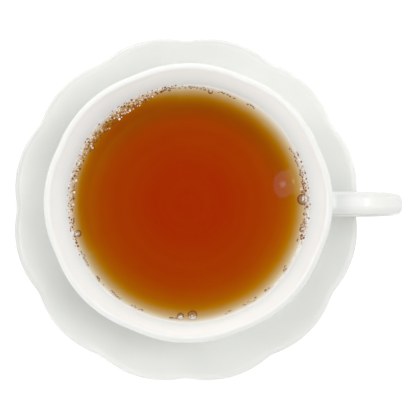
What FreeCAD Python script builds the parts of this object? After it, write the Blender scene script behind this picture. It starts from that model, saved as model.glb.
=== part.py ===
"""A cup of tea: a lobed porcelain cup with an ear handle, filled with tea, on a scalloped saucer.

Frame, in millimetres: the origin is on the saucer's axis in the plane it stands on, +Z is up and
+X points from the saucer's axis to the handle. Three pieces are written: saucer, cup and tea.
"""

import FreeCAD, Part
import os
from math import atan2, cos, pi, radians, sin, sqrt

import Sketcher

V = FreeCAD.Vector

# ---------------------------------------------------------------------------------------------
# Driving dimensions. Lengths are millimetres, and radii are measured from the piece's own axis.
# ---------------------------------------------------------------------------------------------

SIZES = {
    # Saucer: a dished sheet of even thickness with a full-round, scalloped edge, on a foot ring
    "saucer_radius": 71.1,
    "saucer_edge_height": 19.2,
    "saucer_wall": 3.4,
    "scallop_count": 12,
    "scallop_depth": 2.2,
    "scallop_start": 47.0,
    "saucer_foot_radius": 38.0,
    "saucer_foot_width": 3.0,
    "saucer_foot_recess": 2.6,
    # Flat recess in the saucer's middle, in which the cup's foot stands
    "well_depth": 0.8,
    "well_clearance": 2.6,
    # Cup: a flared sheet of even thickness on a foot ring. Its square-shouldered lip is oval and
    # lobed, and the lobes fade out this far below it
    "cup_radius": 53.0,
    "cup_height": 54.8,
    "cup_wall": 2.9,
    "cup_oval": 0.8,
    "cup_lobe_count": 8,
    "cup_lobe_depth": 0.75,
    "cup_lobe_fade": 14.0,
    "cup_foot_radius": 26.5,
    "cup_foot_width": 2.6,
    "cup_foot_recess": 3.0,
    "cup_shift": 1.6,
    "foot_rounding": 0.6,
    # Handle: a strap with full-round edges that narrows towards its lower end
    "handle_width": 9.3,
    "handle_width_low": 6.8,
    "handle_thickness": 6.4,
    "handle_thickness_low": 5.6,
    "handle_reach": 30.3,
    "handle_apex_reach": 13.4,
    "handle_apex_drop": 6.8,
    "handle_root_drop": 11.2,
    "handle_low_height": 16.8,
    "handle_sweep_radius": 14.0,
    "handle_root_rounding": 2.2,
    # Tea: how far its surface lies below the lip
    "tea_drop": 9.0,
}

# Both sheets begin as flat discs of this radius about their axis, and stay flat out to this
# share of their foot's radius
HUB = 4.0
FLAT_SHARE = 0.8


def fill_sheet(sheet):
    """Write each driving dimension in a row of its own, under its name as the alias."""
    for row, (alias, value) in enumerate(SIZES.items(), start=1):
        sheet.set(f"A{row}", alias)
        sheet.set(f"B{row}", str(value))
        sheet.setAlias(f"B{row}", alias)


doc = FreeCAD.newDocument("CupOfTea")
sheet = doc.addObject("Spreadsheet::Sheet", "Sizes")
fill_sheet(sheet)
doc.recompute()


def size(alias):
    return float(sheet.get(alias))


def worth(expression):
    """Value of an expression of the sheet's cells."""
    return float(sheet.evalExpression(expression))


# Height of the flat that the cup's foot stands on
SEAT = "Sizes.saucer_foot_recess + Sizes.saucer_wall - Sizes.well_depth"


def stand_on_saucer(piece):
    """Place a piece that is drawn about the cup's axis and from the plane of its foot."""
    piece.setExpression("Placement.Base.x", "Sizes.cup_shift")
    piece.setExpression("Placement.Base.z", SEAT)


# ---------------------------------------------------------------------------------------------
# Lobed sheets: surfaces of revolution whose rings pass from a plain circle to a lobed outline
# ---------------------------------------------------------------------------------------------


POLES_PER_LOBE = 8


def lobe_outline(angle, lobes, depth):
    """Radius of a ring of equal circular arcs whose crowns lie at 1 and notches at 1 - depth.

    A notch lies at angle 0.
    """
    half = pi / lobes
    off_crown = angle % (2 * half) - half
    notch = 1 - depth
    centre = (1 - notch**2) / (2 * (1 - notch * cos(half)))
    arc = 1 - centre
    return centre * cos(off_crown) + sqrt(arc**2 - (centre * sin(off_crown)) ** 2)


def lobed_ring(lobes, poles_each, depth, first_notch=0.0, oval=0.0):
    """Unit ring as pairs of points at equal steps: on the plain circle, and on the lobed one."""
    count = lobes * poles_each
    pairs = []
    for index in range(count):
        angle = 2 * pi * index / count
        radius = lobe_outline(angle - first_notch, lobes, depth)
        plain = V(cos(angle), sin(angle), 0)
        lobed = V(radius * (1 + oval) * cos(angle), radius * (1 - oval) * sin(angle), 0)
        pairs.append((plain, lobed))
    return pairs


def ease(value, low, high):
    """Rise smoothly from 0 at low to 1 at high."""
    share = min(max((value - low) / (high - low), 0.0), 1.0)
    return share * share * (3 - 2 * share)


def swept_face(profile, ring, lobe_share):
    """Face that a profile in the XZ plane sweeps round Z.

    Each pole of the profile runs round the ring, as a circle where lobe_share of its radius and
    height is 0 and along the lobed outline where it is 1.
    """
    swell = 3 / (2 + cos(2 * pi / len(ring)))
    rows = []
    for plain, lobed in ring:
        row = []
        for pole in profile.getPoles():
            share = lobe_share(pole.x, pole.z)
            around = (plain * (1 - share) + lobed * share) * (swell * pole.x)
            row.append(around + V(0, 0, pole.z))
        rows.append(row)
    steps = len(ring)
    surface = Part.BSplineSurface()
    surface.buildFromPolesMultsKnots(
        rows,
        [1] * (steps + 1),
        profile.getMultiplicities(),
        list(range(steps + 1)),
        profile.getKnots(),
        True,
        False,
        3,
        profile.Degree,
    )
    return surface.toShape()


SAME_HEIGHT = 1e-6


def disc_across(face, height):
    """Flat face inside the ring in which a swept face ends at this height."""
    for edge in face.Edges:
        off = max(abs(edge.BoundBox.ZMin - height), abs(edge.BoundBox.ZMax - height))
        if edge.isClosed() and off < SAME_HEIGHT:
            return Part.Face(Part.Wire([edge]))
    raise ValueError(f"no ring at height {height}")


def solid_of(faces):
    """Sew faces that share their rings into one solid."""
    shell = Part.Shell(faces)
    shell.sewShape()
    solid = Part.Solid(shell)
    if solid.Volume < 0:
        solid.reverse()
    return solid


def through(points, start, end):
    """Smooth curve through points, leaving along start and arriving along end."""
    curve = Part.BSplineCurve()
    curve.interpolate(points, InitialTangent=start, FinalTangent=end)
    return curve


OUTWARD = V(1, 0, 0)
SAMPLES = 14
EDGE_STEPS = 12
FULL_ROUND = 2.0
SQUARE_SHOULDERED = 3.6


def leaning(degrees):
    """Direction in the XZ plane that leans out from vertical."""
    return V(sin(radians(degrees)), 0, cos(radians(degrees)))


def sheet_curves(midline, wall, squareness):
    """Inner side, edge and outer side of a sheet that follows a midline.

    The edge is half of a superellipse, a half circle where its squareness is 2.

    The midline leaves the axis along +X. The inner side lies above it, the outer side below.
    """
    first = midline.FirstParameter
    last = midline.LastParameter
    inner = []
    outer = []
    for index in range(SAMPLES + 1):
        at = first + (last - first) * index / SAMPLES
        along = midline.tangent(at)[0]
        normal = V(-along.z, 0, along.x)
        point = midline.value(at)
        inner.append(point + normal * (wall / 2))
        outer.append(point - normal * (wall / 2))
    edge = []
    for index in range(EDGE_STEPS + 1):
        turn = pi * index / EDGE_STEPS
        bulk = abs(cos(turn)) ** squareness + sin(turn) ** squareness
        reach = wall / 2 * bulk ** (-1 / squareness)
        edge.append(point + (normal * cos(turn) + along * sin(turn)) * reach)
    inner_side = through(inner, OUTWARD, along)
    round_edge = through(edge, along, along * -1)
    outer_side = through(outer[::-1], along * -1, OUTWARD * -1)
    return inner_side, round_edge, outer_side


def lobed_sheet(midline, wall, squareness, ring, lobe_share):
    """Closed solid of a sheet swept round Z, with a flat disc across each side's middle."""
    inner_side, round_edge, outer_side = sheet_curves(midline, wall, squareness)
    inner = swept_face(inner_side, ring, lobe_share)
    lip = swept_face(round_edge, ring, lobe_share)
    outer = swept_face(outer_side, ring, lobe_share)
    floor = disc_across(inner, inner_side.StartPoint.z)
    base = disc_across(outer, outer_side.EndPoint.z)
    return solid_of([floor, inner, lip, outer, base])


def dished_midline(foot_radius, flat_height, end_radius, end_height, stations, end_tangent):
    """Midline that runs flat from the axis to the foot and then rises to the sheet's edge.

    The stations between are shares of the way from foot to edge, in radius and in height.
    """
    points = [V(HUB, 0, flat_height), V(FLAT_SHARE * foot_radius, 0, flat_height)]
    for out, up in stations:
        radius = foot_radius + (end_radius - foot_radius) * out
        height = flat_height + (end_height - flat_height) * up
        points.append(V(radius, 0, height))
    points.append(V(end_radius, 0, end_height))
    return through(points, OUTWARD, end_tangent)


# ---------------------------------------------------------------------------------------------
# PartDesign helpers
# ---------------------------------------------------------------------------------------------


def plane_of(body, role):
    return next(plane for plane in body.Origin.OriginFeatures if plane.Role == role)


def sketch_on(body, role, name):
    sketch = body.newObject("Sketcher::SketchObject", name)
    sketch.AttachmentSupport = [(plane_of(body, role), "")]
    sketch.MapMode = "FlatFace"
    return sketch


def dimension(sketch, kind, *targets, value, bound):
    """Add a dimension with a starting value, then bind it to cells of the sheet."""
    index = sketch.addConstraint(Sketcher.Constraint(kind, *targets, value))
    sketch.setExpression(f"Constraints[{index}]", bound)


START, END, CENTRE = 1, 2, 3
ORIGIN = -1


def ring_body(name, corners):
    """Body made by turning a four-cornered section round Z.

    corners holds, for each corner in order, the expressions of its radius and its height.
    """
    body = doc.addObject("PartDesign::Body", name)
    sketch = sketch_on(body, "XZ_Plane", f"{name}_section")
    points = [V(worth(out), worth(up), 0) for out, up in corners]
    for index in range(4):
        sketch.addGeometry(Part.LineSegment(points[index], points[(index + 1) % 4]))
    for index in range(4):
        following = (index + 1) % 4
        sketch.addConstraint(Sketcher.Constraint("Coincident", index, END, following, START))
    for index, (out, up) in enumerate(corners):
        at = points[index]
        dimension(sketch, "DistanceX", ORIGIN, START, index, START, value=at.x, bound=out)
        if abs(at.y) > 1e-9:
            dimension(sketch, "DistanceY", ORIGIN, START, index, START, value=at.y, bound=up)
        else:
            sketch.addConstraint(Sketcher.Constraint("PointOnObject", index, START, ORIGIN))
    turned = body.newObject("PartDesign::Revolution", f"{name}_turned")
    turned.Profile = sketch
    turned.ReferenceAxis = (sketch, ["V_Axis"])
    turned.Angle = 360
    doc.recompute()
    return body, turned


def round_standing_edges(body, turned):
    """Round the two edges of a foot ring on which it stands."""
    names = []
    for index, edge in enumerate(turned.Shape.Edges, start=1):
        if edge.isClosed() and edge.BoundBox.ZMax < SAME_HEIGHT:
            names.append(f"Edge{index}")
    rounding = body.newObject("PartDesign::Fillet", f"{body.Name}_rounding")
    rounding.Base = (turned, names)
    rounding.setExpression("Radius", "Sizes.foot_rounding")
    doc.recompute()


def foot_ring(name, radius, width, top):
    """Foot ring of the given outer radius, leaning in slightly towards its top."""
    corners = [
        (f"{radius} - {width}", "0"),
        (radius, "0"),
        (f"{radius} - {width} / 4", top),
        (f"{radius} - {width}", top),
    ]
    body, turned = ring_body(name, corners)
    round_standing_edges(body, turned)
    return body


# ---------------------------------------------------------------------------------------------
# Saucer
# ---------------------------------------------------------------------------------------------

# Rise of the saucer's midline from its foot to its edge, as shares of the way out and up
SAUCER_STATIONS = [(0.04, 0.015), (0.24, 0.12), (0.52, 0.385), (0.78, 0.70)]
SAUCER_EDGE_DIRECTION = leaning(63)


def scallop_share(radius, height):
    edge = size("saucer_radius") - size("saucer_wall")
    return ease(radius, size("scallop_start"), edge)


def make_saucer_plate():
    wall = size("saucer_wall")
    midline = dished_midline(
        size("saucer_foot_radius"),
        size("saucer_foot_recess") + wall / 2,
        size("saucer_radius") - wall / 2,
        size("saucer_edge_height") - wall / 2,
        SAUCER_STATIONS,
        SAUCER_EDGE_DIRECTION,
    )
    depth = size("scallop_depth") / size("saucer_radius")
    ring = lobed_ring(int(size("scallop_count")), POLES_PER_LOBE, depth)
    plate = doc.addObject("Part::Feature", "saucer_plate")
    plate.Shape = lobed_sheet(midline, wall, FULL_ROUND, ring, scallop_share)
    return plate


def make_saucer():
    plate = make_saucer_plate()
    foot = foot_ring(
        "saucer_foot",
        "Sizes.saucer_foot_radius",
        "Sizes.saucer_foot_width",
        "Sizes.saucer_foot_recess + Sizes.saucer_wall / 2",
    )
    well = doc.addObject("Part::Cylinder", "well")
    well.setExpression("Radius", "Sizes.cup_foot_radius + Sizes.well_clearance")
    well.setExpression("Height", "2 * Sizes.well_depth")
    well.setExpression("Placement.Base.z", SEAT)
    blank = doc.addObject("Part::Fuse", "saucer_blank")
    blank.Base = plate
    blank.Tool = foot
    saucer = doc.addObject("Part::Cut", "saucer")
    saucer.Label = "saucer"
    saucer.Base = blank
    saucer.Tool = well
    doc.recompute()
    return saucer


# ---------------------------------------------------------------------------------------------
# Cup
# ---------------------------------------------------------------------------------------------

# Rise of the cup's midline from its foot to its lip, as shares of the way out and up
CUP_STATIONS = [
    (0.03, 0.010),
    (0.245, 0.103),
    (0.431, 0.217),
    (0.559, 0.359),
    (0.652, 0.522),
    (0.730, 0.685),
    (0.814, 0.835),
    (0.848, 0.882),
    (0.892, 0.926),
]
CUP_LIP_DIRECTION = leaning(34)


def cup_midline():
    wall = size("cup_wall")
    return dished_midline(
        size("cup_foot_radius"),
        size("cup_foot_recess") + wall / 2,
        size("cup_radius") - wall / 2,
        size("cup_height") - wall / 2,
        CUP_STATIONS,
        CUP_LIP_DIRECTION,
    )


def cup_ring():
    """Lobed, slightly oval ring of the cup, with a lobe's crown towards the handle."""
    lobes = int(size("cup_lobe_count"))
    depth = size("cup_lobe_depth") / size("cup_radius")
    oval = size("cup_oval") / size("cup_radius")
    return lobed_ring(lobes, POLES_PER_LOBE, depth, first_notch=pi / lobes, oval=oval)


def lobe_share(radius, height):
    top = size("cup_height")
    return ease(height, top - size("cup_lobe_fade"), top - size("cup_wall") / 2)


def make_bowl():
    bowl = doc.addObject("Part::Feature", "bowl")
    wall = size("cup_wall")
    bowl.Shape = lobed_sheet(cup_midline(), wall, SQUARE_SHOULDERED, cup_ring(), lobe_share)
    stand_on_saucer(bowl)
    return bowl


def make_core():
    """Solid out to the middle of the cup's wall, closed by a flat disc at the lip."""
    midline = cup_midline()
    side = swept_face(midline, cup_ring(), lobe_share)
    floor = disc_across(side, midline.StartPoint.z)
    top = disc_across(side, midline.EndPoint.z)
    core = doc.addObject("Part::Feature", "core")
    core.Shape = solid_of([floor, side, top])
    stand_on_saucer(core)
    return core


def strap_section(body, name, along, height, width, thickness):
    """Section of the handle: a strap with full-round edges, across the X axis."""
    sketch = sketch_on(body, "YZ_Plane", name)
    sketch.setExpression("AttachmentOffset.Base.z", along)
    middle = worth(height)
    half = worth(thickness) / 2
    flat = worth(width) / 2 - half
    right = Part.Circle(V(flat, middle, 0), V(0, 0, 1), half)
    left = Part.Circle(V(-flat, middle, 0), V(0, 0, 1), half)
    sketch.addGeometry(Part.LineSegment(V(-flat, middle - half, 0), V(flat, middle - half, 0)))
    sketch.addGeometry(Part.ArcOfCircle(right, -pi / 2, pi / 2))
    sketch.addGeometry(Part.LineSegment(V(flat, middle + half, 0), V(-flat, middle + half, 0)))
    sketch.addGeometry(Part.ArcOfCircle(left, pi / 2, 3 * pi / 2))
    for index in range(4):
        following = (index + 1) % 4
        sketch.addConstraint(Sketcher.Constraint("Tangent", index, END, following, START))
    sketch.addConstraint(Sketcher.Constraint("Horizontal", 0))
    half_flat = f"({width} - {thickness}) / 2"
    dimension(sketch, "DistanceX", ORIGIN, START, 1, CENTRE, value=flat, bound=half_flat)
    dimension(sketch, "DistanceX", 3, CENTRE, ORIGIN, START, value=flat, bound=half_flat)
    dimension(sketch, "DistanceY", ORIGIN, START, 1, CENTRE, value=middle, bound=height)
    dimension(sketch, "Radius", 1, value=half, bound=f"{thickness} / 2")
    return sketch


# Places along the handle's centre line, from the cup's axis and the plane of its foot. Its two
# ends lie well inside the bowl, where the core cuts the strap off in the middle of the wall.
ROOT_X = "Sizes.cup_radius - 5 * Sizes.cup_wall"
ROOT_Z = "Sizes.cup_height - Sizes.handle_root_drop"
BEND_X = "Sizes.cup_radius - 2 * Sizes.cup_wall"
APEX_X = "Sizes.cup_radius + Sizes.handle_apex_reach"
APEX_Z = "Sizes.cup_height - Sizes.handle_apex_drop"
FAR_X = "Sizes.cup_radius + Sizes.handle_reach - Sizes.handle_thickness / 2"
LOW_X = "Sizes.cup_foot_radius + 2 * Sizes.cup_wall"
LOW_Z = "Sizes.handle_low_height"


def handle_path(body):
    """Centre line of the handle in the XZ plane.

    It leaves the wall level, rises in an S to its apex, turns down through a quarter circle to
    its outermost point, turns in through a second one, and runs level back into the wall.
    """
    run = worth(APEX_X) - worth(BEND_X)
    rise = worth(APEX_Z) - worth(ROOT_Z)
    sweep = size("handle_sweep_radius")
    crest = (run**2 + rise**2) / (2 * rise) - sweep
    turn = 2 * atan2(rise, run)
    outer = worth(FAR_X) - worth(APEX_X)
    side_z = worth(APEX_Z) - outer
    under = side_z - worth(LOW_Z)
    lines = {
        "root": (V(worth(ROOT_X), worth(ROOT_Z), 0), V(worth(BEND_X), worth(ROOT_Z), 0)),
        "low": (V(worth(FAR_X) - under, worth(LOW_Z), 0), V(worth(LOW_X), worth(LOW_Z), 0)),
    }
    arcs = {
        "sweep": (worth(BEND_X), worth(ROOT_Z) + sweep, sweep, -pi / 2, turn - pi / 2),
        "crest": (worth(APEX_X), worth(APEX_Z) - crest, crest, pi / 2, pi / 2 + turn),
        "outer": (worth(APEX_X), side_z, outer, 0, pi / 2),
        "under": (worth(FAR_X) - under, side_z, under, -pi / 2, 0),
    }
    sketch = sketch_on(body, "XZ_Plane", "handle_path")
    at = {}
    for name, ends in lines.items():
        at[name] = sketch.addGeometry(Part.LineSegment(*ends))
    for name, (across, up, radius, first, last) in arcs.items():
        circle = Part.Circle(V(across, up, 0), V(0, 0, 1), radius)
        at[name] = sketch.addGeometry(Part.ArcOfCircle(circle, first, last))
    joints = [
        ("root", END, "sweep", START),
        ("sweep", END, "crest", END),
        ("crest", START, "outer", END),
        ("outer", START, "under", END),
        ("under", START, "low", START),
    ]
    for one, one_end, other, other_end in joints:
        tangent = Sketcher.Constraint("Tangent", at[one], one_end, at[other], other_end)
        sketch.addConstraint(tangent)
    sketch.addConstraint(Sketcher.Constraint("Horizontal", at["root"]))
    sketch.addConstraint(Sketcher.Constraint("Horizontal", at["low"]))
    above = Sketcher.Constraint("Vertical", at["crest"], CENTRE, at["crest"], START)
    sketch.addConstraint(above)
    beside = Sketcher.Constraint("Horizontal", at["outer"], CENTRE, at["outer"], START)
    sketch.addConstraint(beside)
    places = [
        ("DistanceX", "root", START, ROOT_X),
        ("DistanceY", "root", START, ROOT_Z),
        ("DistanceX", "root", END, BEND_X),
        ("DistanceX", "crest", START, APEX_X),
        ("DistanceY", "crest", START, APEX_Z),
        ("DistanceX", "outer", START, FAR_X),
        ("DistanceX", "low", END, LOW_X),
        ("DistanceY", "low", END, LOW_Z),
    ]
    for kind, name, end, bound in places:
        dimension(sketch, kind, ORIGIN, START, at[name], end, value=worth(bound), bound=bound)
    dimension(sketch, "Radius", at["sweep"], value=sweep, bound="Sizes.handle_sweep_radius")
    return sketch


def make_strap():
    body = doc.addObject("PartDesign::Body", "handle_strap")
    path = handle_path(body)
    upper = strap_section(
        body, "upper_section", ROOT_X, ROOT_Z, "Sizes.handle_width", "Sizes.handle_thickness"
    )
    lower = strap_section(
        body, "lower_section", LOW_X, LOW_Z, "Sizes.handle_width_low", "Sizes.handle_thickness_low"
    )
    doc.recompute()
    pipe = body.newObject("PartDesign::AdditivePipe", "handle_pipe")
    pipe.Profile = upper
    pipe.Spine = path
    pipe.Transformation = "Multisection"
    pipe.Sections = [lower]
    stand_on_saucer(body)
    doc.recompute()
    return body


def on_both(edge, one, other):
    """Whether an edge's middle third lies on both shapes."""
    first, last = edge.ParameterRange
    for share in (0.35, 0.5, 0.65):
        point = Part.Vertex(edge.valueAt(first + (last - first) * share))
        if max(point.distToShape(one)[0], point.distToShape(other)[0]) > 1e-3:
            return False
    return True


def make_cup():
    bowl = make_bowl()
    foot = foot_ring(
        "cup_foot",
        "Sizes.cup_foot_radius",
        "Sizes.cup_foot_width",
        "Sizes.cup_foot_recess + Sizes.cup_wall / 2",
    )
    stand_on_saucer(foot)
    core = make_core()
    strap = make_strap()
    handle = doc.addObject("Part::Cut", "handle")
    handle.Base = strap
    handle.Tool = core
    joined = doc.addObject("Part::MultiFuse", "cup_joined")
    joined.Shapes = [bowl, foot, handle]
    doc.recompute()
    cup = doc.addObject("Part::Fillet", "cup")
    cup.Label = "cup"
    cup.Base = joined
    radius = size("handle_root_rounding")
    roots = []
    for index, edge in enumerate(joined.Shape.Edges, start=1):
        if on_both(edge, bowl.Shape, handle.Shape):
            roots.append((index, radius, radius))
    cup.Edges = roots
    doc.recompute()
    return cup, bowl, core


# ---------------------------------------------------------------------------------------------
# Tea
# ---------------------------------------------------------------------------------------------


def make_tea(bowl, core):
    """Tea that fills the bowl to its level: the core up to that level, less the bowl."""
    reach = doc.addObject("Part::Cylinder", "tea_reach")
    reach.setExpression("Radius", "2 * Sizes.cup_radius")
    reach.setExpression("Height", "Sizes.cup_height - Sizes.tea_drop")
    stand_on_saucer(reach)
    filled = doc.addObject("Part::Common", "filled_core")
    filled.Base = core
    filled.Tool = reach
    tea = doc.addObject("Part::Cut", "tea")
    tea.Label = "tea"
    tea.Base = filled
    tea.Tool = bowl
    doc.recompute()
    return tea


# ---------------------------------------------------------------------------------------------
# Build, check and write
# ---------------------------------------------------------------------------------------------


def check_document():
    """Stop if any object of the document failed."""
    for thing in doc.Objects:
        if "Invalid" in thing.State or "Error" in thing.State:
            raise RuntimeError(f"{thing.Name} failed: {thing.State}")


def write_piece(piece):
    """Write one sub-part to its own file, once its shape is found whole."""
    shape = piece.Shape
    if shape.isNull() or not shape.isValid() or len(shape.Solids) != 1:
        raise RuntimeError(f"{piece.Label} is not one valid solid")
    shape.exportStep(os.path.join("parts", f"{piece.Label}.step"))
    box = shape.BoundBox
    corners = f"X {box.XMin:.2f} to {box.XMax:.2f}, Y {box.YMin:.2f} to {box.YMax:.2f}"
    print(f"{piece.Label}: {shape.Volume / 1000:.1f} cm3, {corners}, Z {box.ZMin:.2f} to {box.ZMax:.2f}")


saucer = make_saucer()
cup, bowl, core = make_cup()
tea = make_tea(bowl, core)
check_document()
os.makedirs("parts", exist_ok=True)
for piece in (saucer, cup, tea):
    write_piece(piece)
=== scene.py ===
"""Looks of a cup of tea on its saucer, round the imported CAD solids. Lengths are metres."""

import random
from math import asin, atan2, cos, degrees, exp, hypot, pi, radians, sin, tau

import bpy
from mathutils import Euler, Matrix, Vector
from mathutils.bvhtree import BVHTree


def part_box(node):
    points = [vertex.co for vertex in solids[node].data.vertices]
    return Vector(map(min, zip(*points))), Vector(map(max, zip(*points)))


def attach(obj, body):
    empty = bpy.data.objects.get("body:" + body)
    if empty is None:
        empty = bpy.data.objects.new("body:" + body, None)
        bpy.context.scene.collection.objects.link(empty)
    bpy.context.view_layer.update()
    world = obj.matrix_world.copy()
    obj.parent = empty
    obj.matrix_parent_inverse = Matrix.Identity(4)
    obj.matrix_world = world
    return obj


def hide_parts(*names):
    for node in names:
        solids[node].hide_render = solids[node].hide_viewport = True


MM = 0.001

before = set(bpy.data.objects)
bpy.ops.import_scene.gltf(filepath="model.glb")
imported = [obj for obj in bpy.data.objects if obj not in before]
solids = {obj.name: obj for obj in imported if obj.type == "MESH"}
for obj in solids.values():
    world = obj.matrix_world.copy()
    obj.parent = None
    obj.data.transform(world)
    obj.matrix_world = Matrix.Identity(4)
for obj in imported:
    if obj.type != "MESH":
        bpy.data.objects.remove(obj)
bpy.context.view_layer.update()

tea_low, tea_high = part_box("tea")
cup_low, cup_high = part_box("cup")
saucer_low, saucer_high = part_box("saucer")

AXIS = Vector(((tea_low.x + tea_high.x) / 2, 0, 0))     # the cup's own axis
LEVEL = tea_high.z                                      # the tea's surface
LIP = cup_high.z                                        # the top of the cup's lip
TEA_RADIUS = (tea_high.y - tea_low.y) / 2
UP = Vector((0, 0, 1))


def toward(azimuth, elevation=0.0):
    """Unit vector at an azimuth counted from +X towards +Y, and an elevation, in degrees."""
    around, above = radians(azimuth), radians(elevation)
    return Vector((cos(above) * cos(around), cos(above) * sin(around), sin(above)))


# ---------------------------------------------------------------------------------------------
# Node trees
# ---------------------------------------------------------------------------------------------

# The range that most of a noise texture's values lie in
NOISE_RANGE = (0.3, 0.7)

# A mix node's sockets for colours, which share their names with those for other kinds
MIX_FIRST, MIX_SECOND, MIX_RESULT = 6, 7, 2


def rgba(value):
    """A plain colour with full alpha. Anything else stays as it is."""
    return (*value, 1.0) if isinstance(value, tuple) else value


class Nodes:
    """A material's node tree, with short calls to add nodes and to join them."""

    def __init__(self, name):
        self.material = bpy.data.materials.new(name)
        self.start(self.material, "ShaderNodeOutputMaterial")

    @classmethod
    def of_world(cls, name):
        tree = cls.__new__(cls)
        bpy.context.scene.world = bpy.data.worlds.new(name)
        tree.start(bpy.context.scene.world, "ShaderNodeOutputWorld")
        return tree

    def start(self, owner, output_kind):
        owner.use_nodes = True
        self.tree = owner.node_tree
        self.tree.nodes.clear()
        self.output = self.add(output_kind)

    def add(self, kind, **settings):
        node = self.tree.nodes.new(kind)
        for key, value in settings.items():
            setattr(node, key, value)
        return node

    def join(self, source, target):
        """Feed a socket, or set it where the source is a plain value."""
        if isinstance(source, bpy.types.NodeSocket):
            self.tree.links.new(source, target)
        else:
            target.default_value = source

    def math(self, operation, first, second=0.0, clamp=False):
        node = self.add("ShaderNodeMath", operation=operation, use_clamp=clamp)
        self.join(first, node.inputs[0])
        self.join(second, node.inputs[1])
        return node.outputs[0]

    def product(self, first, *others):
        for other in others:
            first = self.math("MULTIPLY", first, other)
        return first

    def total(self, first, *others):
        for other in others:
            first = self.math("ADD", first, other)
        return first

    def highest(self, first, *others):
        for other in others:
            first = self.math("MAXIMUM", first, other)
        return first

    def span(self, value, low, high, to_low=0.0, to_high=1.0, smooth=False):
        """Value moved from one range to another, and held at its ends."""
        node = self.add("ShaderNodeMapRange")
        node.interpolation_type = "SMOOTHSTEP" if smooth else "LINEAR"
        self.join(value, node.inputs["Value"])
        limits = (low, high, to_low, to_high)
        for socket, limit in zip(("From Min", "From Max", "To Min", "To Max"), limits):
            self.join(limit, node.inputs[socket])
        return node.outputs[0]

    def place(self):
        return self.add("ShaderNodeTexCoord").outputs["Object"]

    def component(self, vector, name):
        node = self.add("ShaderNodeSeparateXYZ")
        self.join(vector, node.inputs[0])
        return node.outputs[name]

    def vector(self, operation, first, second=(0, 0, 0), output="Vector"):
        node = self.add("ShaderNodeVectorMath", operation=operation)
        self.join(first, node.inputs[0])
        self.join(second, node.inputs[1])
        return node.outputs[output]

    def noise(self, scale, detail, roughness=0.5, vector=None):
        """Noise with a scale in cells to the metre, by place unless a vector is given."""
        node = self.add("ShaderNodeTexNoise")
        node.inputs["Scale"].default_value = scale
        node.inputs["Detail"].default_value = detail
        node.inputs["Roughness"].default_value = roughness
        self.join(vector or self.place(), node.inputs["Vector"])
        return node.outputs["Fac"]

    def spread(self, noise, low, high):
        """Noise spread out from a low to a high value."""
        return self.span(noise, *NOISE_RANGE, low, high)

    def mix(self, share, first, second):
        """Mix of two colours, as (r, g, b) or sockets."""
        node = self.add("ShaderNodeMix", data_type="RGBA")
        self.join(share, node.inputs["Factor"])
        self.join(rgba(first), node.inputs[MIX_FIRST])
        self.join(rgba(second), node.inputs[MIX_SECOND])
        return node.outputs[MIX_RESULT]

    def bump(self, height, strength, distance):
        node = self.add("ShaderNodeBump")
        node.inputs["Strength"].default_value = strength
        node.inputs["Distance"].default_value = distance
        self.join(height, node.inputs["Height"])
        return node.outputs["Normal"]

    def attribute(self, name):
        return self.add("ShaderNodeAttribute", attribute_name=name).outputs["Fac"]

    def principled(self, **values):
        """Surface shader whose sockets are named with underscores for spaces."""
        node = self.add("ShaderNodeBsdfPrincipled")
        for key, value in values.items():
            self.join(rgba(value), node.inputs[key.replace("_", " ")])
        self.join(node.outputs[0], self.output.inputs["Surface"])


# ---------------------------------------------------------------------------------------------
# Porcelain
# ---------------------------------------------------------------------------------------------

PORCELAIN = (0.835, 0.84, 0.81)
THICK_GLAZE = (0.80, 0.81, 0.785)
# Painted tint, not the glaze's own: cooler on the inner wall, to cancel part of the warm light that
# the tea bounces onto it
PAINTED_COOL_TINT = (0.775, 0.818, 0.816)
# Painted shade that darkens the lip
PAINTED_LIP_SHADE = (0.785, 0.79, 0.768)
# Painted shade on the handle's far side and over the saucer's edge
PAINTED_EDGE_SHADE = (0.735, 0.74, 0.715)
BISQUE = (0.72, 0.695, 0.64)

# Heights between which painted tint and shade change: from the painted cool tint to plain up the
# cup's inner wall, from plain to painted shade at its lip, and towards the painted shade at the
# saucer's edge
COOL_BAND = (LEVEL + 2 * MM, LIP - 0.5 * MM)
LIP_BAND = (LIP - 1.8 * MM, LIP - 0.2 * MM)
EDGE_BAND = (saucer_high.z - 4 * MM, saucer_high.z - 1.5 * MM)

# The handle's painted shade begins past the lip and its lobes, and fades in from there
LIP_LOBES = 1.2 * MM
LIP_REACH = AXIS.x + (cup_high.y - cup_low.y) / 2 + LIP_LOBES
HANDLE_FADE = 2 * MM

# Facings, from -1 to 1, between which painted tint and shade change: the cool tint on the cup's
# inner wall, the painted shade on the handle's far side and over the saucer's edge, and from the
# saucer's unshaded side to its shaded one
INNER_FACING = (-0.5, -0.1)
HANDLE_FACING = (-0.1, 0.6)
EDGE_FACING = (-0.35, 0.05)
SIDE_FACING = (-0.6, 0.5)
HANDLE_SHADED_SIDE = toward(90)           # the side on which the handle's painted shade is darkest
SAUCER_SHADED_SIDE = toward(135)         # the side on which the saucer's edge takes the painted shade
HANDLE_SHADE_SHARES = (0.25, 1.0)   # how much painted shade the handle takes away from its far side, and on it

# The bare foot: heights above what it stands on between which the glaze begins, and how ragged
# the glaze's border is
BARE_BAND = (0.15 * MM, 0.3 * MM)
BARE_RAGGED = 0.25 * MM

# Noise textures: scale in cells to the metre, detail, and roughness where it isn't 0.5
POOLS_NOISE = (38, 2)
RAGGED_NOISE = (900, 2)
GRIT_NOISE = (2500, 2, 0.6)
GLOSS_NOISE = (60, 3)
WAVES_NOISE = (55, 2, 0.45)

GLAZE_IOR = 1.5
GLAZE_POOLS = (0.35, 0.7)       # noise values between which the glaze goes from plain to thick
GLAZE_ROUGHNESS = (0.08, 0.13)
GLAZE_WAVES = (0.1, 0.35 * MM)  # strength and height of the bump
BISQUE_ROUGHNESS = 0.65


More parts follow.
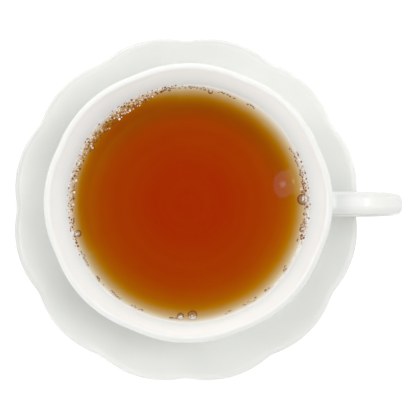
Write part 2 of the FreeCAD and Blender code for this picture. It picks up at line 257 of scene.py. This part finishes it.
def way_out(nodes, place):
    """Level direction straight out from the cup's axis."""
    from_axis = nodes.vector("SUBTRACT", place, AXIS)
    return nodes.vector("NORMALIZE", nodes.vector("MULTIPLY", from_axis, (1, 1, 0)))


def facing(nodes, way):
    """How far a surface faces a way, from -1 to 1."""
    normal = nodes.add("ShaderNodeNewGeometry").outputs["Normal"]
    return nodes.vector("DOT_PRODUCT", way, normal, "Value")


def handle_painted_shade(nodes, glaze):
    """Painted shade on the handle: a little darker all over, and darkest on its far side."""
    along = nodes.component(nodes.place(), "X")
    past_lip = nodes.span(along, LIP_REACH, LIP_REACH + HANDLE_FADE)
    shade_share = nodes.span(facing(nodes, HANDLE_SHADED_SIDE), *HANDLE_FACING, *HANDLE_SHADE_SHARES, smooth=True)
    return nodes.mix(nodes.product(past_lip, shade_share), glaze, PAINTED_EDGE_SHADE)


def cup_painted_tint_and_shade(nodes, glaze, height, out):
    """Painted colour on the cup: a cool tint on the inner wall just above the drink, which cancels
    part of the warm light that the tea bounces there, and painted shade on lip and handle.
    """
    low_wall = nodes.span(height, *COOL_BAND, 1.0, 0.0)
    inside = nodes.span(facing(nodes, out), *INNER_FACING, 1.0, 0.0)
    glaze = nodes.mix(nodes.product(low_wall, inside), glaze, PAINTED_COOL_TINT)
    # Painted shade on the lip
    lip = nodes.span(height, *LIP_BAND, smooth=True)
    return handle_painted_shade(nodes, nodes.mix(lip, glaze, PAINTED_LIP_SHADE))


def saucer_painted_shade(nodes, glaze, height, out):
    """Painted shade over the edge, mostly on one side."""
    edge = nodes.span(height, *EDGE_BAND)
    over = nodes.span(facing(nodes, out), *EDGE_FACING, smooth=True)
    to_side = nodes.vector("DOT_PRODUCT", out, SAUCER_SHADED_SIDE, "Value")
    side = nodes.span(to_side, *SIDE_FACING, smooth=True)
    return nodes.mix(nodes.product(edge, over, side), glaze, PAINTED_EDGE_SHADE)


def porcelain(name, standing_height, paint_tint_and_shade):
    """White glazed porcelain, bare of glaze on the ring that it stands on."""
    nodes = Nodes(name)
    place = nodes.place()
    height = nodes.component(place, "Z")
    pooled = nodes.span(nodes.noise(*POOLS_NOISE), *GLAZE_POOLS)
    glaze = nodes.mix(pooled, PORCELAIN, THICK_GLAZE)
    glaze = paint_tint_and_shade(nodes, glaze, height, way_out(nodes, place))
    ragged = nodes.product(nodes.noise(*RAGGED_NOISE), BARE_RAGGED)
    bare_from, bare_to = (standing_height + above for above in BARE_BAND)
    bare = nodes.span(nodes.math("SUBTRACT", height, ragged), bare_from, bare_to, 1.0, 0.0)
    grit = nodes.mix(nodes.noise(*GRIT_NOISE), BISQUE, PORCELAIN)
    gloss = nodes.spread(nodes.noise(*GLOSS_NOISE), *GLAZE_ROUGHNESS)
    nodes.principled(
        Base_Color=nodes.mix(bare, glaze, grit),
        Roughness=nodes.span(bare, 0.0, 1.0, gloss, BISQUE_ROUGHNESS),
        IOR=GLAZE_IOR,
        Normal=nodes.bump(nodes.noise(*WAVES_NOISE), *GLAZE_WAVES),
    )
    return nodes.material


def dress(node, material):
    """Give a CAD node its finished material."""
    mesh = solids[node].data
    for index in range(len(mesh.materials)):
        mesh.materials[index] = material


# ---------------------------------------------------------------------------------------------
# The tea's colour
# ---------------------------------------------------------------------------------------------

# Colour of the tea by depth: floor + span * exp(-rate * depth in mm), for each channel, and the
# least that a channel falls to
TEA_CHANNELS = {
    "Red": (0.315, 0.41, 0.088),
    "Green": (0.0045, 0.69, 0.081),
    "Blue": (-0.045, 0.71, 0.145),
}
TEA_DARKEST = 0.0003

# The deep middle is redder: how much of the green is left there, and from where to where it
# comes back, as shares of the tea's radius
MIDDLE_GREEN = 0.68
MIDDLE_BAND = (0.28, 0.55)

# The wall shades a crescent of the tea on the key light's side: the azimuth of its middle in
# degrees, its place and half width as shares of the tea's radius, between which cosines of the
# angle from its middle it grows to its full darkness, and how dark that is
CRESCENT_AZIMUTH = 78
CRESCENT_PLACE = 0.81
CRESCENT_HALF_WIDTH = 0.14
CRESCENT_ALONG = (-0.1, 0.95)
CRESCENT_DARKNESS = 0.19

# Uneven depth, as shares of it: clouds, and faint rings that wander from a true circle
CLOUDS = (0.97, 1.03)
CLOUDS_NOISE = (45, 3, 0.55)
RINGS = (0.965, 1.035)
RINGS_NOISE = (11, 2, 0.5)      # its scale in cells to the tea's radius
RINGS_WANDER = 0.1
WANDER_NOISE = (40, 1)

# How much deeper the tea looks beside the widest froth, which shades the wall under it, and
# from where, with how long a rise, as shares of the tea's radius
FROTH_SHADES = 0.8
FROTH_SHADES_FROM = 0.82
FROTH_SHADES_RISE = 0.1

WATER_IOR = 1.33
TEA_ROUGHNESS = 0.02
TEA_RIPPLES = (0.12, 0.15 * MM)     # strength and height of the bump
RIPPLES_NOISE = (30, 1, 0.4)


def crescent_light(nodes, share_out):
    """Share of the light that is left in the crescent that the wall shades."""
    off = nodes.math("ABSOLUTE", nodes.math("SUBTRACT", share_out, CRESCENT_PLACE))
    across = nodes.span(off, 0.0, CRESCENT_HALF_WIDTH, 1.0, 0.0, smooth=True)
    along = nodes.span(nodes.attribute("to_key"), *CRESCENT_ALONG, smooth=True)
    return nodes.math("SUBTRACT", 1.0, nodes.product(across, along, CRESCENT_DARKNESS))


def tea_colour(nodes, depth, share_out):
    """Colour of clear tea over white porcelain, by depth in metres and share of the radius."""
    joined = nodes.add("ShaderNodeCombineColor")
    middle = nodes.span(share_out, *MIDDLE_BAND, MIDDLE_GREEN, 1.0, smooth=True)
    shaded = crescent_light(nodes, share_out)
    for channel, (floor, span, rate) in TEA_CHANNELS.items():
        faded = nodes.math("EXPONENT", nodes.product(depth, -rate / MM))
        light = nodes.total(nodes.product(faded, span), floor)
        if channel == "Green":
            light = nodes.product(light, middle)
        light = nodes.product(light, shaded)
        nodes.join(nodes.highest(light, TEA_DARKEST), joined.inputs[channel])
    return joined.outputs[0]


def tea_material():
    """Tea, its colour worked out from the depth under each point of its surface."""
    nodes = Nodes("clear_tea")
    share_out = nodes.attribute("share_out")
    cloud = nodes.spread(nodes.noise(*CLOUDS_NOISE), *CLOUDS)
    rings = nodes.add("ShaderNodeCombineXYZ")
    wander = nodes.total(share_out, nodes.product(nodes.noise(*WANDER_NOISE), RINGS_WANDER))
    nodes.join(wander, rings.inputs["X"])
    ringed = nodes.spread(nodes.noise(*RINGS_NOISE, rings.outputs[0]), *RINGS)
    # Painted shadow of the froth on the wall under it, drawn as deeper tea beside the froth
    froth_shadow = nodes.total(nodes.product(nodes.attribute("by_froth"), FROTH_SHADES), 1.0)
    depth = nodes.product(nodes.attribute("depth"), cloud, ringed, froth_shadow)
    nodes.principled(
        Base_Color=tea_colour(nodes, depth, share_out),
        Roughness=TEA_ROUGHNESS,
        IOR=WATER_IOR,
        Normal=nodes.bump(nodes.noise(*RIPPLES_NOISE), *TEA_RIPPLES),
    )
    return nodes.material


# ---------------------------------------------------------------------------------------------
# Films of froth and bubbles
# ---------------------------------------------------------------------------------------------

# Colours of froth by shade, from dark brown to the palest, which the painted highlights take;
# painted shade on the feet that face the cup's axis moves them darker
FROTH_COLOURS = (
    (0.0, (0.27, 0.065, 0.008)),
    (0.25, (0.42, 0.15, 0.03)),
    (0.5, (0.72, 0.55, 0.42)),
    (1.0, (0.90, 0.84, 0.80)),
)
FROTH_GRAIN = (-0.1, 0.1)       # what fine grain adds to the shade
GRAIN_NOISE = (3000, 2, 0.6)
FROTH_TURNED = (0.12, -0.3)     # painted light that facing away from the cup's axis adds, and painted shade that facing it adds
FROTH_FACING = (-0.8, 0.8)      # the facings that those belong to
FROTH_ROUGHNESS = 0.1


def froth_material():
    """Fine froth: pale bubbles, each with painted shade on the foot that faces the cup's axis and
    painted light on its side towards the wall.
    """
    nodes = Nodes("froth")
    grain = nodes.spread(nodes.noise(*GRAIN_NOISE), *FROTH_GRAIN)
    turned = nodes.span(nodes.attribute("inward"), *FROTH_FACING, *FROTH_TURNED)
    shade = nodes.math("ADD", nodes.total(nodes.attribute("shade"), grain), turned, clamp=True)
    ramp = nodes.add("ShaderNodeValToRGB")
    nodes.join(shade, ramp.inputs[0])
    stops = ramp.color_ramp.elements
    darkest, *between, palest = FROTH_COLOURS
    for stop, (position, colour) in zip((stops[0], stops[1]), (darkest, palest)):
        stop.position = position
        stop.color = rgba(colour)
    for position, colour in between:
        stops.new(position).color = rgba(colour)
    nodes.principled(Base_Color=ramp.outputs[0], Roughness=FROTH_ROUGHNESS, IOR=WATER_IOR)
    return nodes.material


BUBBLE_RING = (0.26, 0.055, 0.002)
BUBBLE_FILM = (0.62, 0.36, 0.16)
BUBBLE_SHINE = (0.95, 0.93, 0.90)
BUBBLE_IOR = 1.4
BUBBLE_ROUGHNESS = 0.04

# A bubble's film goes by `rim`, from 0 at its top to 1 at its foot, and by `inward`, from -1 on
# its side at the wall to 1 on its side at the cup's axis. A dark ring of painted shade lies near its
# foot, with a darker painted crescent on the inward side, and painted highlights lie on its top and
# outward side.
RING_BEGINS = (0.72, 0.84)      # by rim
RING_ENDS = (0.95, 1.0)         # by rim
RING_END_DARK = 0.2             # how much of it is left at the foot
RING_TURN = (-0.7, 0.2)         # by inward: where the ring is faint, and where it is full
RING_FAINT = 0.25
INWARD_CRESCENT = (1.25, 1.5)   # by rim and inward together
INWARD_SPECKS = 0.2             # how much of the specks its border takes
SHINE_OUTWARD = (-0.45, -0.1)   # by inward
SHINE_TOP = (0.15, 0.5)         # by rim
SHINE = 0.8
SPECKS = (-0.3, 0.3)
SPECKS_NOISE = (1500, 2)
DARK_COVER = 0.95               # how much the dark parts cover what is under them
PALE_COVER = (0.1, 0.5)         # and how much the clear film covers, over the stretch below
PALE_RIM = (0.6, 0.98)


def bubble_material():
    """A bubble's film: a brown ring of painted shade, darkest inward, round a clear film with a
    painted highlight on its top.
    """
    nodes = Nodes("bubble_film")
    inward = nodes.attribute("inward")
    rim = nodes.attribute("rim")
    speck = nodes.spread(nodes.noise(*SPECKS_NOISE), *SPECKS)
    # Painted shade: the dark ring and the inward crescent
    ring = nodes.product(
        nodes.span(rim, *RING_BEGINS, smooth=True),
        nodes.span(rim, *RING_ENDS, 1.0, RING_END_DARK, smooth=True),
        nodes.span(inward, *RING_TURN, RING_FAINT, 1.0),
    )
    specks = nodes.product(speck, INWARD_SPECKS)
    edge = nodes.total(inward, rim, specks, nodes.attribute("shade"))
    dark = nodes.highest(ring, nodes.span(edge, *INWARD_CRESCENT, smooth=True))
    # Painted highlights on the top and the outward side
    shine = nodes.highest(
        nodes.span(nodes.total(inward, speck), *SHINE_OUTWARD, SHINE, 0.0, smooth=True),
        nodes.span(nodes.total(rim, speck), *SHINE_TOP, SHINE, 0.0, smooth=True),
    )
    pale = nodes.span(rim, *PALE_RIM, *PALE_COVER, smooth=True)
    nodes.principled(
        Base_Color=nodes.mix(dark, nodes.mix(shine, BUBBLE_FILM, BUBBLE_SHINE), BUBBLE_RING),
        Roughness=BUBBLE_ROUGHNESS,
        IOR=BUBBLE_IOR,
        Alpha=nodes.highest(pale, shine, nodes.product(dark, DARK_COVER)),
    )
    return nodes.material


# ---------------------------------------------------------------------------------------------
# Where froth and bubbles lie
# ---------------------------------------------------------------------------------------------

FROTH_SEED = 5
BUBBLE_SEED = 11

# Band of froth along the wall: azimuth in degrees, and its width there in mm
FROTH_WIDTHS = (
    (96, 0.4),
    (103, 1.6),
    (110, 2.9),
    (120, 3.9),
    (133, 4.5),
    (142, 3.9),
    (150, 3.4),
    (158, 2.6),
    (170, 2.4),
    (185, 2.2),
    (196, 1.5),
    (206, 0.5),
)
# The same for the thin froth round the bubbles by the handle
THIN_FROTH_WIDTHS = (
    (-21, 0.5),
    (-14, 2.2),
    (-6, 1.4),
    (0, 1.8),
    (4, 3.0),
    (8, 2.8),
    (13, 1.6),
    (20, 0.7),
    (27, 0.3),
)
FROTH_TRIES = 4500
THIN_FROTH_TRIES = 800
FROTH_RADII = (0.2, 0.27, 0.36, 0.48)       # in mm
FROTH_ONTO_WALL = 0.25                      # how far the band begins behind the wall, in mm

# Shades of froth, and how often they come: brown more often across the band towards the cup's
# axis, where the pale froth is darker too, and the white of painted highlights where neither is
# drawn
BROWN_SHADES = (0.02, 0.2)
PALE_SHADES = (0.6, 0.95)
HIGHLIGHT_SHADE = 1.25
BROWN_SHARE = 0.24
BROWN_GROWS = 0.36
BROWN_OR_PALE_SHARE = 0.85
PALE_DARKENS = 0.15

# Painted highlights along the tea's edge, drawn as thin streaks of the finest, palest froth: from
# and to azimuth in degrees, distance from the wall and radius in mm, and shade
HIGHLIGHT_STREAKS = ((-29, -18), (-44, -37))
STREAK_TRIES = 260
STREAK_FROM_WALL = (0.6, 0.9)
STREAK_RADIUS = 0.27
STREAK_SHADES = (1.3, 1.5)

# Chains of small bubbles along the wall: from and to azimuth in degrees, their count, and the
# least gap between them and the wall in mm
CHAINS = (
    (82, 103, 60, 0.1),
    (66, 75, 20, 0.3),
    (55, 60, 9, 0.3),
    (9, 29, 44, 0.5),
    (-20, 8, 34, 0.9),
    (324, 327, 5, 0.5),
    (311, 314, 5, 0.5),
    (298, 306, 14, 0.5),
    (288, 292, 7, 0.6),
    (261, 265, 5, 0.6),
    (240, 247, 10, 0.3),
    (229, 236, 16, 0.3),
    (218, 224, 14, 0.2),
    (203, 212, 16, 0.2),
)
CHAIN_RADII = (0.28, 0.55)                  # in mm
CHAIN_SPREAD = 0.6                          # how much wider that gap gets, in mm
CHAIN_SHADES = (0.2, 0.8)

# Larger bubbles: azimuth in degrees, distance of their centre from the wall in mm, diameter in mm
BUBBLES = (
    (2.0, 2.3, 4.2),
    (-13.0, 1.4, 2.1),
    (-9.3, 0.9, 1.3),
    (-16.8, 0.7, 1.2),
    (195.3, 2.1, 2.7),
    (266.0, 2.3, 2.7),
    (272.1, 2.8, 3.7),
    (79.0, 1.5, 2.0),
    (150.0, 3.3, 1.5),
)


def width_at(widths, azimuth):
    """Width of a band of froth in mm, 0 outside it."""
    for (start, wide), (end, next_wide) in zip(widths, widths[1:]):
        if start <= azimuth <= end:
            return wide + (next_wide - wide) * (azimuth - start) / (end - start)
    return 0.0


def widest(widths):
    return max(width for _, width in widths)


# ---------------------------------------------------------------------------------------------
# The cup's wall and the tea's body
# ---------------------------------------------------------------------------------------------


def tree_of(node):
    mesh = solids[node].data
    verts = [vertex.co.copy() for vertex in mesh.vertices]
    faces = [tuple(face.vertices) for face in mesh.polygons]
    return BVHTree.FromPolygons(verts, faces)


cup_tree = tree_of("cup")

AT_WALL = 0.02 * MM     # how near the wall a point of the tea counts as lying on it


def wall_radius(angle, height):
    """Distance from the cup's axis to the inside of its wall."""
    start = Vector((AXIS.x, 0, height))
    ray = Vector((cos(angle), sin(angle), 0))
    return cup_tree.ray_cast(start, ray)[3]


def depth_under(point):
    """Depth of tea from the surface at a point down to the porcelain, 0 over the wall."""
    from_axis = Vector((point[0] - AXIS.x, point[1], 0))
    if from_axis.length > TEA_RADIUS / 2:
        angle = atan2(from_axis.y, from_axis.x)
        if from_axis.length > wall_radius(angle, LEVEL) - AT_WALL:
            return 0.0
    return cup_tree.ray_cast(Vector((point[0], point[1], LEVEL)), -UP)[3]


# How the tea climbs the wall: its rise there, and the length over which it falls away
CLIMB = 0.9 * MM
CLIMB_LENGTH = 1.0 * MM

# The tea's body reaches this far into the porcelain, and the wall round it is last measured
# this far above its floor
INTO_WALL = 0.3 * MM
ABOVE_FLOOR = 0.05 * MM

# Points round the tea's body, and rings out to its wall and down it. The powers set the rings
# closer together towards the wall, and then towards the floor.
TEA_AROUND = 240
TEA_RINGS_OUT = 44
TEA_RINGS_DOWN = 16
TEA_POWER_OUT = 2.2
TEA_POWER_DOWN = 0.8


def climb(from_wall):
    return CLIMB * exp(-from_wall / CLIMB_LENGTH)


def froth_beside(point):
    """How much froth lies beside a point of the tea, from 0 to 1."""
    azimuth = degrees(atan2(point[1], point[0] - AXIS.x)) % 360
    share_out = hypot(point[0] - AXIS.x, point[1]) / TEA_RADIUS
    near = min(max((share_out - FROTH_SHADES_FROM) / FROTH_SHADES_RISE, 0.0), 1.0)
    return near * width_at(FROTH_WIDTHS, azimuth) / widest(FROTH_WIDTHS)


def mesh_piece(name, verts, faces, material, floats):
    """Smooth-shaded mesh that rides on the cup, with named values on its vertices."""
    mesh = bpy.data.meshes.new(name)
    mesh.from_pydata(verts, [], faces)
    for key, values in floats.items():
        mesh.attributes.new(key, "FLOAT", "POINT").data.foreach_set("value", values)
    mesh.polygons.foreach_set("use_smooth", [True] * len(mesh.polygons))
    mesh.materials.append(material)
    mesh.update()
    piece = bpy.data.objects.new(name, mesh)
    bpy.context.scene.collection.objects.link(piece)
    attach(piece, "root")
    return piece


def cap_faces(first, around, rings):
    """Faces of a middle point and the rings of points round it, which follow it in order."""
    faces = []
    for index in range(around):
        after = (index + 1) % around
        faces.append((first, first + 1 + index, first + 1 + after))
        for ring in range(rings - 1):
            near = first + 1 + ring * around
            far = near + around
            faces.append((near + index, far + index, far + after, near + after))
    return faces


def round_axis(angle, radius, height):
    return (AXIS.x + radius * cos(angle), radius * sin(angle), height)


def tea_verts():
    """The tea's points: its middle, rings out to the wall, rings down it, and its floor's middle."""
    angles = [tau * index / TEA_AROUND for index in range(TEA_AROUND)]
    top_wall = [wall_radius(angle, LEVEL + CLIMB) + INTO_WALL for angle in angles]
    verts = [(AXIS.x, 0, LEVEL)]
    for step in range(1, TEA_RINGS_OUT + 1):
        share = 1 - (1 - step / TEA_RINGS_OUT) ** TEA_POWER_OUT
        for angle, wall in zip(angles, top_wall):
            radius = wall * share
            height = LEVEL + climb(max(wall - INTO_WALL - radius, 0))
            verts.append(round_axis(angle, radius, height))
    for step in range(1, TEA_RINGS_DOWN + 1):
        share = (step / TEA_RINGS_DOWN) ** TEA_POWER_DOWN
        height = LEVEL + (tea_low.z + ABOVE_FLOOR - LEVEL) * share
        for angle in angles:
            radius = wall_radius(angle, height) + INTO_WALL
            verts.append(round_axis(angle, radius, height - INTO_WALL * share))
    verts.append((AXIS.x, 0, tea_low.z - INTO_WALL))
    return verts


def make_tea():
    """Body of tea that reaches just into the wall, with a surface that climbs it at the edge."""
    verts = tea_verts()
    faces = cap_faces(0, TEA_AROUND, TEA_RINGS_OUT + TEA_RINGS_DOWN)
    floor_middle = len(verts) - 1
    last_ring = floor_middle - TEA_AROUND
    for index in range(TEA_AROUND):
        after = (index + 1) % TEA_AROUND
        faces.append((last_ring + after, last_ring + index, floor_middle))
    key = radians(CRESCENT_AZIMUTH)
    floats = {
        "depth": [depth_under(vert) for vert in verts],
        "share_out": [hypot(vert[0] - AXIS.x, vert[1]) / TEA_RADIUS for vert in verts],
        "to_key": [cos(atan2(vert[1], vert[0] - AXIS.x) - key) for vert in verts],
        "by_froth": [froth_beside(vert) for vert in verts],
    }
    tea = mesh_piece("tea_body", verts, faces, tea_material(), floats)
    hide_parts("tea")


# ---------------------------------------------------------------------------------------------
# Meshes of froth and bubbles
# ---------------------------------------------------------------------------------------------


class Domes:
    """One mesh of many low domes that float along the wall."""

    def __init__(self, segments, rings, rise, sink):
        self.segments = segments
        self.rings = rings
        self.rise = rise        # height as a share of the radius
        self.sink = sink        # depth of the foot below the surface, as a share of the radius
        self.verts = []
        self.faces = []
        self.floats = {"inward": [], "rim": [], "shade": []}

    def add(self, angle, from_wall, radius, shade):
        """Float a dome at an angle round the cup and a distance from its wall."""
        level = LEVEL + climb(from_wall)
        out = Vector((cos(angle), sin(angle), 0))
        reach = wall_radius(angle, level) - from_wall
        centre = AXIS + out * reach + UP * (level - self.sink * radius)
        self.faces += cap_faces(len(self.verts), self.segments, self.rings)
        for ring in range(self.rings + 1):
            slope = pi / 2 * ring / self.rings
            for index in range(self.segments if ring else 1):
                turn = tau * index / self.segments
                offset = Vector((cos(turn), sin(turn), 0)) * sin(slope)
                top = UP * (cos(slope) * self.rise * radius)
                self.verts.append(centre + offset * radius + top)
                self.floats["inward"].append(-offset.dot(out))
                self.floats["rim"].append(sin(slope))
                self.floats["shade"].append(shade)

    def make_piece(self, name, material):
        mesh_piece(name, self.verts, self.faces, material, self.floats)


class Raft:
    """Bubbles that lie side by side along the wall and cover each other by a small share."""

    def __init__(self, domes, overlap, placed=()):
        self.domes = domes
        self.overlap = overlap
        self.placed = list(placed)

    def add(self, azimuth, from_wall, radius, shade):
        """Place a bubble, in degrees and mm, unless others are in its way."""
        reach = TEA_RADIUS / MM - from_wall
        x, y = reach * cos(radians(azimuth)), reach * sin(radians(azimuth))
        for other_x, other_y, other in self.placed:
            if hypot(x - other_x, y - other_y) < (radius + other) * (1 - self.overlap):
                return
        self.placed.append((x, y, radius))
        self.domes.add(radians(azimuth), from_wall * MM, radius * MM, shade)


def froth_shade(rng, across):
    """Brown, pale, or white as a painted highlight, with most of the brown towards the cup's axis.
    """
    pick = rng.random()
    if pick < BROWN_SHARE + BROWN_GROWS * across:
        return rng.uniform(*BROWN_SHADES)
    if pick < BROWN_OR_PALE_SHARE:
        return rng.uniform(*PALE_SHADES) - PALE_DARKENS * across
    return HIGHLIGHT_SHADE


def make_froth():
    """Froth along the wall, and two thin streaks of pale froth between the handle and the viewer
    that are painted highlights.
    """
    rng = random.Random(FROTH_SEED)
    domes = Domes(segments=10, rings=4, rise=0.8, sink=0.15)
    raft = Raft(domes, overlap=0.1)
    for widths, tries in ((FROTH_WIDTHS, FROTH_TRIES), (THIN_FROTH_WIDTHS, THIN_FROTH_TRIES)):
        for _ in range(tries):
            azimuth = rng.uniform(widths[0][0], widths[-1][0])
            width = width_at(widths, azimuth)
            across = rng.random()
            radius = rng.choice(FROTH_RADII)
            shade = froth_shade(rng, across)
            if rng.random() * widest(widths) < width:
                raft.add(azimuth, across * width - FROTH_ONTO_WALL, radius, shade)
    # Painted highlights along the tea's edge
    for start, end in HIGHLIGHT_STREAKS:
        for _ in range(STREAK_TRIES):
            azimuth = rng.uniform(start, end)
            from_wall = rng.uniform(*STREAK_FROM_WALL)
            raft.add(azimuth, from_wall, STREAK_RADIUS, rng.uniform(*STREAK_SHADES))
    domes.make_piece("froth", froth_material())


def make_bubbles():
    """The larger bubbles, and the chains of small ones between them."""
    rng = random.Random(BUBBLE_SEED)
    large = Domes(segments=40, rings=14, rise=0.8, sink=0.05)
    large_raft = Raft(large, overlap=0.3)
    for azimuth, from_wall, diameter in BUBBLES:
        large_raft.add(azimuth, from_wall, diameter / 2, 0.0)
    small = Domes(segments=18, rings=6, rise=0.8, sink=0.05)
    small_raft = Raft(small, overlap=0.15, placed=large_raft.placed)
    for start, end, count, gap in CHAINS:
        for _ in range(count):
            radius = rng.uniform(*CHAIN_RADII)
            from_wall = gap + radius + rng.uniform(0.0, CHAIN_SPREAD)
            azimuth = rng.uniform(start, end)
            small_raft.add(azimuth, from_wall, radius, rng.uniform(*CHAIN_SHADES))
    film = bubble_material()
    large.make_piece("bubbles", film)
    small.make_piece("small_bubbles", film)


# ---------------------------------------------------------------------------------------------
# Stage and camera
# ---------------------------------------------------------------------------------------------

FLOOR_COLOUR = (0.35, 0.35, 0.345)
FLOOR_HALF = 2.5
# The glow that makes the floor white to the camera: near the object, where the lamps add most,
# and far from it, and the distances from the origin between which it grows
FLOOR_GLOW = (0.76, 1.0)
FLOOR_GLOW_GROWS = (0.15, 0.8)

# Radiance of the surroundings near the horizon and straight overhead, where the ceiling is
# dark, and the heights on a unit sphere between which it falls
HORIZON = 0.49
ZENITH = 0.015
SKY_FALLS = (0.25, 0.85)
WHITE = (1.0, 1.0, 1.0)

# The camera hangs over the cup: its place from the cup's axis and lip, its pitch in degrees and
# its lens in mm
CAMERA_PLACE = Vector((7.4, -26.1, 430.0)) * MM
CAMERA_PITCH = 3.17
CAMERA_LENS = 100.1


def floor_material():
    """Pale floor that the camera sees white, apart from the object's shadow."""
    nodes = Nodes("pale_floor")
    path = nodes.add("ShaderNodeLightPath")
    rays = ("Is Camera Ray", "Is Glossy Ray", "Is Transmission Ray")
    seen = nodes.highest(*(path.outputs[ray] for ray in rays))
    reach = nodes.vector("LENGTH", nodes.place(), output="Value")
    far = nodes.span(reach, *FLOOR_GLOW_GROWS, *FLOOR_GLOW, smooth=True)
    diffuse = nodes.add("ShaderNodeBsdfDiffuse")
    nodes.join(rgba(FLOOR_COLOUR), diffuse.inputs["Color"])
    glow = nodes.add("ShaderNodeEmission")
    nodes.join(nodes.product(seen, far), glow.inputs["Strength"])
    total = nodes.add("ShaderNodeAddShader")
    nodes.join(diffuse.outputs[0], total.inputs[0])
    nodes.join(glow.outputs[0], total.inputs[1])
    nodes.join(total.outputs[0], nodes.output.inputs["Surface"])
    return nodes.material


def make_floor():
    corners = ((-1, -1), (1, -1), (1, 1), (-1, 1))
    verts = [(x * FLOOR_HALF, y * FLOOR_HALF, saucer_low.z) for x, y in corners]
    mesh = bpy.data.meshes.new("floor")
    mesh.from_pydata(verts, [], [(0, 1, 2, 3)])
    mesh.materials.append(floor_material())
    floor = bpy.data.objects.new("floor", mesh)
    bpy.context.scene.collection.objects.link(floor)


def make_world():
    """Surroundings bright round the horizon and dark overhead, white to the camera."""
    nodes = Nodes.of_world("studio")
    path = nodes.add("ShaderNodeLightPath")
    rise = nodes.component(nodes.add("ShaderNodeTexCoord").outputs["Generated"], "Z")
    around = nodes.span(rise, *SKY_FALLS, HORIZON, ZENITH, smooth=True)
    background = nodes.add("ShaderNodeBackground")
    nodes.join(rgba(WHITE), background.inputs["Color"])
    nodes.join(nodes.highest(path.outputs["Is Camera Ray"], around), background.inputs["Strength"])
    nodes.join(background.outputs[0], nodes.output.inputs["Surface"])


def camera_place():
    return AXIS + UP * LIP + CAMERA_PLACE


def make_camera():
    camera_data = bpy.data.cameras.new("camera")
    camera_data.lens = CAMERA_LENS
    camera = bpy.data.objects.new("camera", camera_data)
    camera.location = camera_place()
    camera.rotation_euler = Euler((radians(CAMERA_PITCH), 0, 0))
    bpy.context.scene.collection.objects.link(camera)
    bpy.context.scene.camera = camera


# ---------------------------------------------------------------------------------------------
# Lamps
# ---------------------------------------------------------------------------------------------

# Broad soft lamps: azimuth and elevation in degrees, side in metres, and power in watts. They
# leave no reflections: those come from the small windows below.
SOFT_LAMPS = {
    "soft_north_east": (60, 22, 0.8, 4.5),
    "soft_north": (90, 22, 0.8, 2.7),
    "soft_north_west": (150, 22, 0.8, 3.5),
    "soft_west": (180, 22, 0.8, 3.2),
    "soft_south_west": (240, 22, 0.8, 3.7),
    "soft_south_east": (300, 22, 0.8, 3.2),
    "high_east": (0, 70, 0.5, 6.0),
    "high_north_west": (120, 70, 0.5, 2.0),
}
WINDOWS = {
    "window_north_east": (52, 30, 0.16, 0.33),
    "window_east": (-10, 34, 0.22, 0.45),
    "window_west": (168, 30, 0.12, 0.3),
    "skylight": (12, 73, 0.14, 0.45),
}
LAMP_DISTANCE = 1.2

# The ceiling lamp that the tea mirrors: where its image lies on the tea, from the cup's axis,
# how far off it hangs, the width and power of its shade and of the bulb in it, how much longer
# than wide the shade is, and where the bulb is in it
MIRROR_SPOT = Vector((35.9, 7.2, 0)) * MM
CEILING = 1.5
SHADE_LAMP = (0.031, 0.0042)
BULB_LAMP = (0.009, 0.0008)
SHADE_STRETCH = 1.4
BULB_SHIFT = Vector((-0.0016, -0.001, -0.02))


def add_lamp(name, place, target, shape, side, power):
    light = bpy.data.lights.new(name, "AREA")
    light.shape = shape
    light.size = side
    light.energy = power
    lamp = bpy.data.objects.new(name, light)
    lamp.location = place
    lamp.rotation_euler = (place - target).to_track_quat("Z", "Y").to_euler()
    bpy.context.scene.collection.objects.link(lamp)
    return lamp


def make_lamps():
    target = AXIS + UP * LIP
    for name, (azimuth, elevation, side, power) in {**SOFT_LAMPS, **WINDOWS}.items():
        place = target + toward(azimuth, elevation) * LAMP_DISTANCE
        lamp = add_lamp(name, place, target, "SQUARE", side, power)
        lamp.visible_glossy = name in WINDOWS


def make_ceiling_lamp():
    spot = AXIS + UP * LEVEL + MIRROR_SPOT
    sight = camera_place() - spot
    mirrored = Vector((-sight.x, -sight.y, sight.z)).normalized()
    place = spot + mirrored * CEILING
    shade = add_lamp("ceiling_shade", place, spot, "ELLIPSE", *SHADE_LAMP)
    shade.data.size_y = shade.data.size * SHADE_STRETCH
    shade.rotation_euler = Euler((-asin(mirrored.y), asin(mirrored.x), 0))
    add_lamp("ceiling_bulb", place + BULB_SHIFT, spot, "DISK", *BULB_LAMP)


make_camera()
make_world()
make_lamps()
make_ceiling_lamp()
make_floor()
dress("cup", porcelain("cup_porcelain", cup_low.z, cup_painted_tint_and_shade))
dress("saucer", porcelain("saucer_porcelain", saucer_low.z, saucer_painted_shade))
make_tea()
make_froth()
make_bubbles()

bpy.context.scene.view_settings.view_transform = "Standard"
